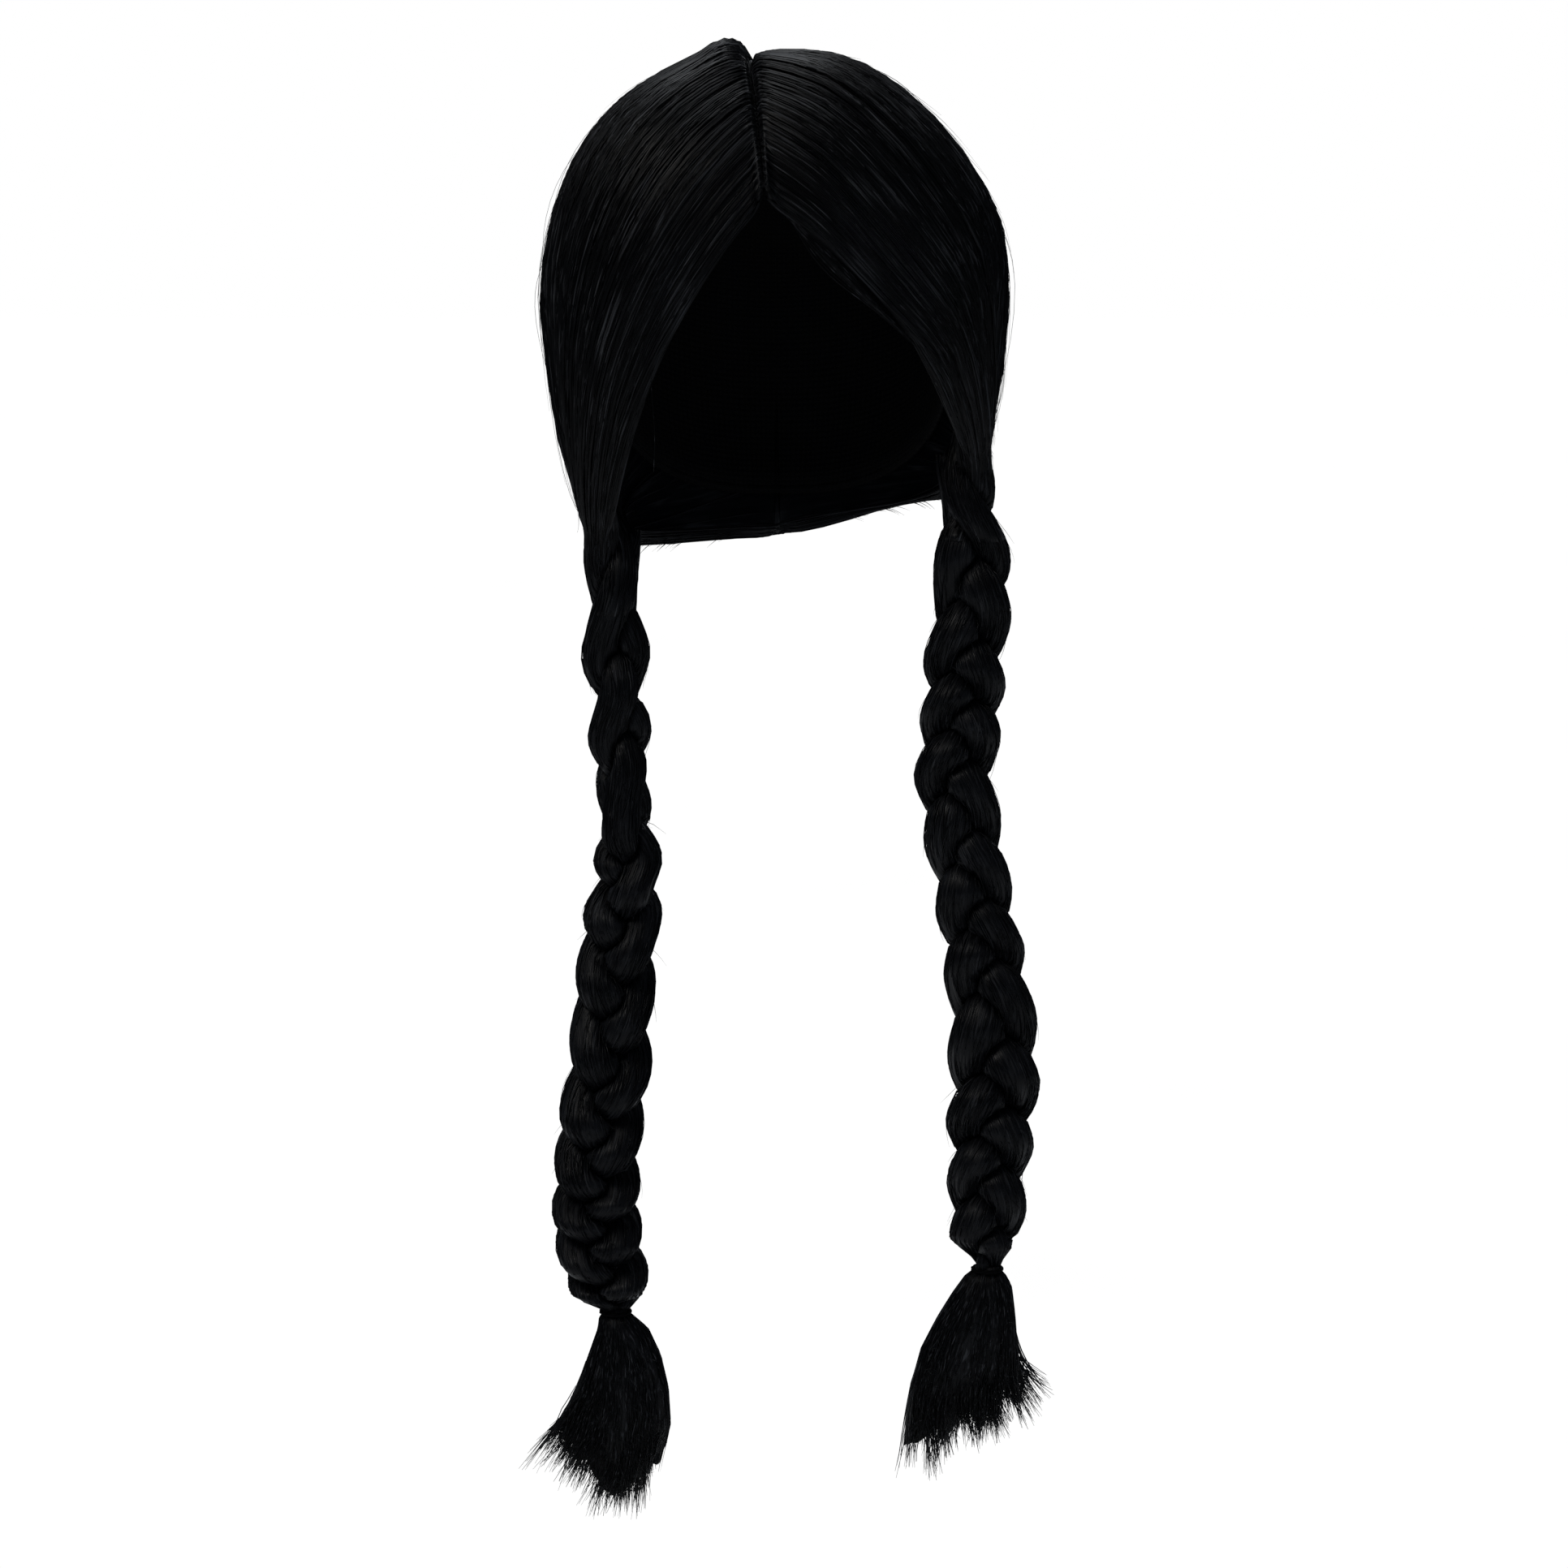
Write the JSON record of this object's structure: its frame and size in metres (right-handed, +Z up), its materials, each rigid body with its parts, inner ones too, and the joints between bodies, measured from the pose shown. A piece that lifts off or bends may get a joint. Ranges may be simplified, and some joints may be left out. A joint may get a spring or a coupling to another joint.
{
  "type": "pigtail wig",
  "caption": "Long dark wig with a centre parting and a hanging plait at each side, tied near its end, on a thin cap that fits over a head.",
  "frame": {"origin": "inside of the cap at the crown, where it sits on the top of the head", "axes": "+Z up, the wearer faces -Y, and +X is towards the wearer's left"},
  "size_m": [0.2144, 0.1961, 0.6442],
  "materials": {
    "hair": "glossy black synthetic hair",
    "cap_net": "black stretch net",
    "sewn_strip": "black stitched strip",
    "elastic": "matt black elastic"
  },
  "bodies": {
    "root": {"wig_cap": "cap_net", "parting_seam": "sewn_strip", "front_hair_right": "hair", "side_hair_right": "hair", "back_hair_right": "hair", "braid_strand_1_right": "hair", "braid_strand_2_right": "hair", "braid_strand_3_right": "hair", "hair_tie_right": "elastic", "braid_end_right": "hair", "front_hair_left": "hair", "side_hair_left": "hair", "back_hair_left": "hair", "braid_strand_1_left": "hair", "braid_strand_2_left": "hair", "braid_strand_3_left": "hair", "hair_tie_left": "elastic", "braid_end_left": "hair"}
  },
  "joints": []
}
